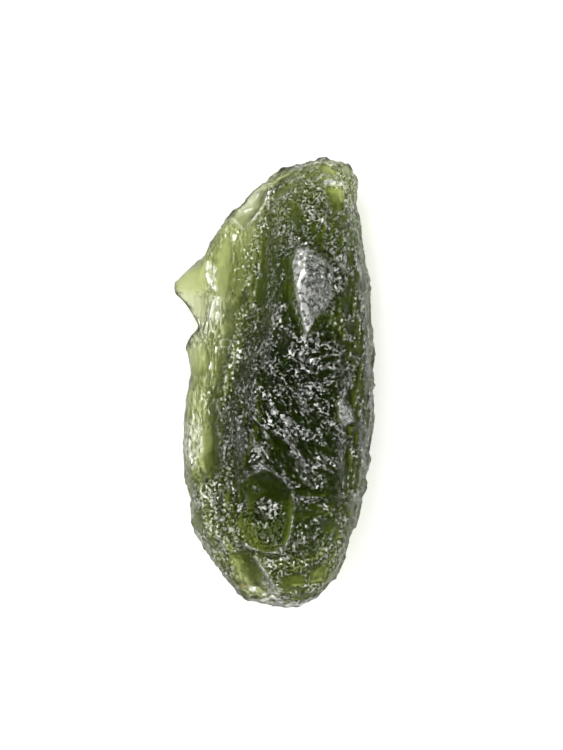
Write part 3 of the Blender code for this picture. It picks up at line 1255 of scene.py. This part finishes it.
@dataclass
class Relief:
    """What the forms do to the skin: each point's lift, its roughness and its masks.

    Upward is 1 where the skin faces up, as in the photograph, and 0 on the sides and below.
    """

    x: np.ndarray
    y: np.ndarray
    upward: np.ndarray
    lift: np.ndarray
    roughness: np.ndarray
    masks: dict[Mask, np.ndarray]
    # Folds calm the etching, keep grain out of their troughs and make their crests shine
    fold_calm: float = 0.45
    fold_bareness: float = 0.75
    fold_glint: float = 0.14
    trough: Pair = (-0.5, 0.2)
    crest: Pair = (0.9, 1.0)
    # Patches with less grain than this are smooth
    smooth_below: float = 0.2
    patch_calm: float = 0.88

    def blend(self, looks: Looks, share: np.ndarray) -> None:
        """Draws the masks to the values of some looks.

        Args:
            looks: The values.
            share: How far each point's masks go to them, up to 1.
        """
        for mask, value in looks.items():
            self.masks[mask] += (value - self.masks[mask]) * share

    def add_folds(self, folds: Folds) -> None:
        """Raises a zone of folds.

        Args:
            folds: The folds.
        """
        zone = folds.oval.weight(self.x, self.y) * self.upward
        self.roughness *= 1.0 - self.fold_calm * zone
        near = zone > 0
        waves = np.zeros(len(self.x))
        waves[near] = folds.waves(self.x[near], self.y[near])
        self.lift += folds.height * waves * zone
        self.masks[Mask.GRAIN] *= 1.0 - self.fold_bareness * zone * rise(-waves, *self.trough)
        self.masks[Mask.GLINT] += self.fold_glint * zone * rise(waves, *self.crest)
        LOG.debug("folds, %s: %d points", folds.name, np.count_nonzero(near))

    def add_patch(self, patch: Patch) -> None:
        """Raises or sinks a patch and gives it its looks.

        Args:
            patch: The patch.
        """
        share = patch.weight(self.x, self.y) * self.upward
        self.lift += patch.height * share
        self.blend(patch.looks, share)
        if patch.looks.get(Mask.GRAIN, 1.0) < self.smooth_below:
            self.roughness *= 1.0 - self.patch_calm * share
        LOG.debug("patch, %s: %d points", patch.name, np.count_nonzero(share))

    def add_trail(self, trail: Trail) -> None:
        """Raises a ridge or sinks a furrow, and adds its looks.

        Args:
            trail: The ridge or furrow.
        """
        share = trail.weight(self.x, self.y) * self.upward
        self.lift += trail.height * share
        for mask, value in trail.looks.items():
            self.masks[mask] += value * share
        LOG.debug("trail, %s: %d points", trail.name, np.count_nonzero(share))


@dataclass
class Moldavite:
    """The stone's skin, grown over the CAD solid. All sizes are in millimetres."""

    name: str = "moldavite_stone"
    voxel: float = 0.136
    smoothing_rounds: int = 18
    smoothing: float = 0.5
    last_smoothing: float = 0.1
    # In metres: points of the CAD form that are closer than this are one point
    merge_distance: float = 0.0000001
    # Skin that faces neither up nor down by this much is left out of plain stretches
    plain_facing: float = 0.3
    # How steeply up skin has to face to count as the upper face, and how steeply down as the
    # belly: not at all at the first value, wholly at the second
    upper_face: Pair = (0.0, 0.4)
    belly_face: Pair = (0.2, 0.7)
    # Outlines of the forms and cells of the etching wander, over these distances
    outline_wander: float = 0.14
    outline_spacing: Triple = (0.8, 0.8, 0.8)
    outline_seeds: Pair = (31.0, 37.0)
    etching_wander: float = 0.35
    etching_spacing: Triple = (1.1, 1.4, 1.1)
    etching_seeds: Triple = (2.0, 5.0, 8.0)
    # How rough plain skin is, and how much grain and steep flanks add
    plain_roughness: float = 0.35
    grain_roughness: float = 0.75
    rough_flanks: float = 1.3
    # Some stretches have less grain, and so has the worn belly
    bare_spacing: Triple = (1.5, 1.9, 1.5)
    bare_seed: float = 43.0
    bare_from: float = 0.22
    bare_to: float = 0.42
    bareness: float = 0.5
    belly_wear: float = 0.5
    # Points up to this height rest on the ground, and crests slow this far below the top
    resting_height: float = 0.02
    top_margin: float = 0.2

    def cad_copy(self) -> bmesh.types.BMesh:
        """Copies the CAD node's mesh.

        Returns:
            The copy, merged and in millimetres.
        """
        mesh = bmesh.new()
        mesh.from_mesh(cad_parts["moldavite"].data)
        bmesh.ops.remove_doubles(mesh, verts=mesh.verts, dist=self.merge_distance)
        bmesh.ops.transform(mesh, matrix=Matrix.Scale(1 / MM, 4), verts=mesh.verts)
        return mesh

    def even_net(self) -> bmesh.types.BMesh:
        """Covers the CAD form with an even net of small faces.

        Returns:
            The net, in millimetres.
        """
        data = bpy.data.meshes.new("coarse_form")
        coarse = self.cad_copy()
        coarse.to_mesh(data)
        coarse.free()
        form = bpy.data.objects.new("coarse_form", data)
        bpy.context.scene.collection.objects.link(form)
        remesh = form.modifiers.new("even_net", "REMESH")
        remesh.mode = "VOXEL"
        remesh.voxel_size = self.voxel
        graph = bpy.context.evaluated_depsgraph_get()
        net = bmesh.new()
        net.from_mesh(form.evaluated_get(graph).to_mesh())
        bpy.data.objects.remove(form)
        return net

    def smooth(self, skin: bmesh.types.BMesh, share: float) -> None:
        """Moves every point part of the way to the middle of its neighbours.

        Args:
            skin: The skin, which is changed.
            share: How much of the way each point goes.
        """
        bmesh.ops.smooth_vert(
            skin, verts=skin.verts, factor=share, use_axis_x=True, use_axis_y=True, use_axis_z=True
        )

    def even_skin(self) -> bmesh.types.BMesh:
        """Smooths the CAD form's flat facets away.

        Returns:
            The skin before its forms.
        """
        skin = self.even_net()
        for _ in range(self.smoothing_rounds):
            self.smooth(skin, self.smoothing)
        skin.normal_update()
        places = np.array([v.co[:] for v in skin.verts])
        for stretch in PLAIN_STRETCHES:
            reach = stretch.oval.reach(places[:, 0], places[:, 1])
            plain = [
                vertex for vertex, distance in zip(skin.verts, reach)
                if distance < 1.0 and abs(vertex.normal.z) > self.plain_facing
            ]
            for _ in range(stretch.rounds):
                bmesh.ops.smooth_vert(skin, verts=plain, factor=self.smoothing, use_axis_z=True)
            LOG.debug("plain stretch, %s: %d points", stretch.name, len(plain))
        return skin

    def etching(self, places: np.ndarray) -> np.ndarray:
        """Height of the etched bowls and ripples that cover the whole stone.

        Args:
            places: Where the skin's points are.

        Returns:
            One height per point.
        """
        wander = [noise_field(places, self.etching_spacing, seed) for seed in self.etching_seeds]
        shifted = places + self.etching_wander * np.column_stack(wander)
        heights = sum(kind.heights(shifted) for kind in BOWLS)
        return heights + sum(kind.heights(places) for kind in RIPPLES)

    def first_relief(self, places: np.ndarray, normals: np.ndarray) -> Relief:
        """The skin before its forms: its grain by zone, and how rough it is.

        Args:
            places: Where the skin's points are.
            normals: Which way they face.

        Returns:
            A relief with nothing lifted yet.
        """
        x, y = places[:, 0], places[:, 1]
        upward = rise(normals[:, 2], *self.upper_face)
        belly = rise(-normals[:, 2], *self.belly_face)
        masks = {mask: np.zeros(len(x)) for mask in Mask}
        masks[Mask.GRAIN] += ROUND_GRAIN
        for zone in GRAIN_ZONES:
            masks[zone.mask] = np.maximum(masks[zone.mask], zone.amount * zone.oval.weight(x, y))
        seeds = self.outline_seeds
        relief = Relief(
            x=x + self.outline_wander * noise_field(places, self.outline_spacing, seeds[0]),
            y=y + self.outline_wander * noise_field(places, self.outline_spacing, seeds[1]),
            upward=upward,
            lift=np.zeros(len(x)),
            roughness=np.zeros(len(x)),
            masks=masks,
        )
        relief.blend(BLADE.looks, BLADE.weight(x, y))
        # The sides have one mix of round and drawn-out grain, thinner on the worn belly
        worn = 1.0 - self.belly_wear * belly
        for mask in (Mask.GRAIN, Mask.FLOW, Mask.SLANT):
            side = SIDE_GRAIN.get(mask, 0.0) * (1.0 - upward) * worn
            masks[mask] = masks[mask] * upward + side
        # The flanks are rougher still, but not the blade's thin edge
        thick = 1.0 - BLADE.weight(relief.x, relief.y)
        relief.roughness += np.clip(
            self.plain_roughness + self.grain_roughness * masks[Mask.GRAIN], 0.0, 1.0
        )
        relief.roughness += self.rough_flanks * (1.0 - upward) * thick
        thinning = -noise_field(places, self.bare_spacing, self.bare_seed)
        masks[Mask.GRAIN] *= 1.0 - self.bareness * rise(thinning, self.bare_from, self.bare_to)
        return relief

    def settle(self, places: np.ndarray, moved: np.ndarray) -> None:
        """Keeps the moved points between the ground and the top of the CAD form.

        Args:
            places: Where the points were in the CAD form.
            moved: Where the forms put them. Their heights are changed in place.
        """
        # The worn spot under the belly stays level, and nothing sinks below it
        resting = places[:, 2] < self.resting_height
        moved[resting, 2] = places[resting, 2]
        moved[:, 2] = np.maximum(moved[:, 2], places[:, 2].min())
        # Crests at the top rise less and less above the CAD form
        over = np.maximum(moved[:, 2] - places[:, 2].max() + self.top_margin, 0.0)
        moved[:, 2] -= over - self.top_margin * np.tanh(over / self.top_margin)

    def sculpt(self, skin: bmesh.types.BMesh) -> Relief:
        """Moves the skin's points to give it its forms.

        Args:
            skin: The even skin, which is changed.

        Returns:
            The relief, whose masks tell the glass where it has which looks.
        """
        skin.normal_update()
        places = np.array([v.co[:] for v in skin.verts])
        normals = np.array([v.normal[:] for v in skin.verts])
        relief = self.first_relief(places, normals)
        for folds in FOLDS:
            relief.add_folds(folds)
        for patch in PATCHES:
            relief.add_patch(patch)
        for trail in TRAILS:
            relief.add_trail(trail)
        moved = places + normals * (self.etching(places) * relief.roughness)[:, None]
        moved[:, 2] += relief.lift
        self.settle(places, moved)
        for vertex, place in zip(skin.verts, moved):
            vertex.co = place
        self.smooth(skin, self.last_smoothing)
        return relief

    def build(self, glass: bpy.types.Material) -> bpy.types.Object:
        """Makes the finished stone.

        Args:
            glass: The stone's finish.

        Returns:
            The object, at the origin, standing for the CAD node.
        """
        skin = self.even_skin()
        relief = self.sculpt(skin)
        lowest = min(v.co.z for v in skin.verts)
        bmesh.ops.translate(skin, verts=skin.verts, vec=(0, 0, -lowest))
        bmesh.ops.transform(skin, matrix=Matrix.Scale(MM, 4), verts=skin.verts)
        data = bpy.data.meshes.new(self.name)
        skin.to_mesh(data)
        skin.free()
        data.shade_smooth()
        for mask, values in relief.masks.items():
            layer = data.attributes.new(mask.value, "FLOAT", "POINT")
            layer.data.foreach_set("value", values.astype(np.float32))
        data.materials.append(glass)
        stone = bpy.data.objects.new(self.name, data)
        bpy.context.scene.collection.objects.link(stone)
        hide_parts("moldavite")
        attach(stone, "root")
        return stone


# The studio


@dataclass(frozen=True)
class Softbox:
    """A soft lamp: its place and its size in metres, its brightness, and its light's colour."""

    name: str
    place: Triple
    width: float
    height: float
    radiance: float
    colour: Triple = (1.0, 0.99, 0.94)

    def build(self, target: Vector) -> None:
        """Hangs the lamp.

        Args:
            target: The place it faces.
        """
        data = bpy.data.lights.new(self.name, "AREA")
        data.shape = "RECTANGLE"
        data.size, data.size_y = self.width, self.height
        # An area lamp gives off power / (pi * area) in each direction
        data.energy = self.radiance * math.pi * self.width * self.height
        data.color = self.colour
        lamp = bpy.data.objects.new(self.name, data)
        lamp.location = self.place
        lamp.rotation_euler = (target - Vector(self.place)).to_track_quat("-Z", "Y").to_euler()
        bpy.context.scene.collection.objects.link(lamp)


@dataclass(frozen=True)
class Studio:
    """The paper ground, the lamps and the camera above the stone. Sizes are in metres."""

    floor_size: float = 1.2
    surroundings: float = 1.1
    camera_place: Pair = (0.0006, 0.00068)
    # The camera hangs this far above the level of the stone's outline
    camera_height: float = 0.4
    outline_level: float = 0.0037
    # How much of the stone's plane the picture shows from top to bottom
    frame_height: float = 0.060
    sensor_millimetres: float = 36.0
    nearest: float = 0.01
    farthest: float = 10.0
    lamps: tuple[Softbox, ...] = (
        Softbox("main_box", (-0.34, 0.34, 0.62), 0.5, 0.5, 5.2),
        Softbox("right_box", (0.45, 0.12, 0.6), 0.45, 0.45, 3.2),
        Softbox("front_box", (0.1, -0.46, 0.6), 0.45, 0.45, 3.0),
        Softbox("left_box", (-0.48, -0.2, 0.56), 0.4, 0.4, 3.7),
    )

    def build_floor(self, paper: bpy.types.Material) -> bpy.types.Object:
        """Lays the paper.

        Args:
            paper: Its finish.

        Returns:
            The sheet, declared as stage.
        """
        sheet = bmesh.new()
        bmesh.ops.create_grid(sheet, x_segments=1, y_segments=1, size=self.floor_size / 2)
        data = bpy.data.meshes.new("paper_ground")
        sheet.to_mesh(data)
        sheet.free()
        data.materials.append(paper)
        floor = bpy.data.objects.new("paper_ground", data)
        bpy.context.scene.collection.objects.link(floor)
        return floor

    def build_light(self) -> None:
        """Hangs the lamps and lights the white room around them."""
        for lamp in self.lamps:
            lamp.build(Vector((0, 0, 0)))
        world = bpy.data.worlds.new("white_room")
        world.use_nodes = True
        background = world.node_tree.nodes["Background"]
        background.inputs["Color"].default_value = (1, 1, 1, 1)
        background.inputs["Strength"].default_value = self.surroundings
        bpy.context.scene.world = world

    def build_camera(self) -> bpy.types.Object:
        """Puts the camera straight above the stone, as in the photograph.

        Returns:
            The camera.
        """
        data = bpy.data.cameras.new("camera")
        data.sensor_fit = "AUTO"
        data.sensor_width = self.sensor_millimetres
        data.lens = self.sensor_millimetres * self.camera_height / self.frame_height
        data.clip_start, data.clip_end = self.nearest, self.farthest
        camera = bpy.data.objects.new("camera", data)
        camera.location = (*self.camera_place, self.camera_height + self.outline_level)
        bpy.context.scene.collection.objects.link(camera)
        bpy.context.scene.camera = camera
        return camera


def main() -> None:
    """Builds the stone and its studio in order."""
    logging.basicConfig(level=logging.INFO)
    bpy.context.scene.view_settings.view_transform = "Standard"
    glass = TektiteGlass().build(EtchedGrain().build())
    stone = Moldavite().build(glass)
    LOG.info("%s: %d faces", stone.name, len(stone.data.polygons))
    studio = Studio()
    floor = studio.build_floor(WhitePaper().build())
    LOG.info("%s: %.1f m wide", floor.name, studio.floor_size)
    studio.build_light()
    LOG.info("light: %d lamps", len(studio.lamps))
    camera = studio.build_camera()
    LOG.info("%s: %.0f mm lens", camera.name, camera.data.lens)


if __name__ == "__main__":
    main()
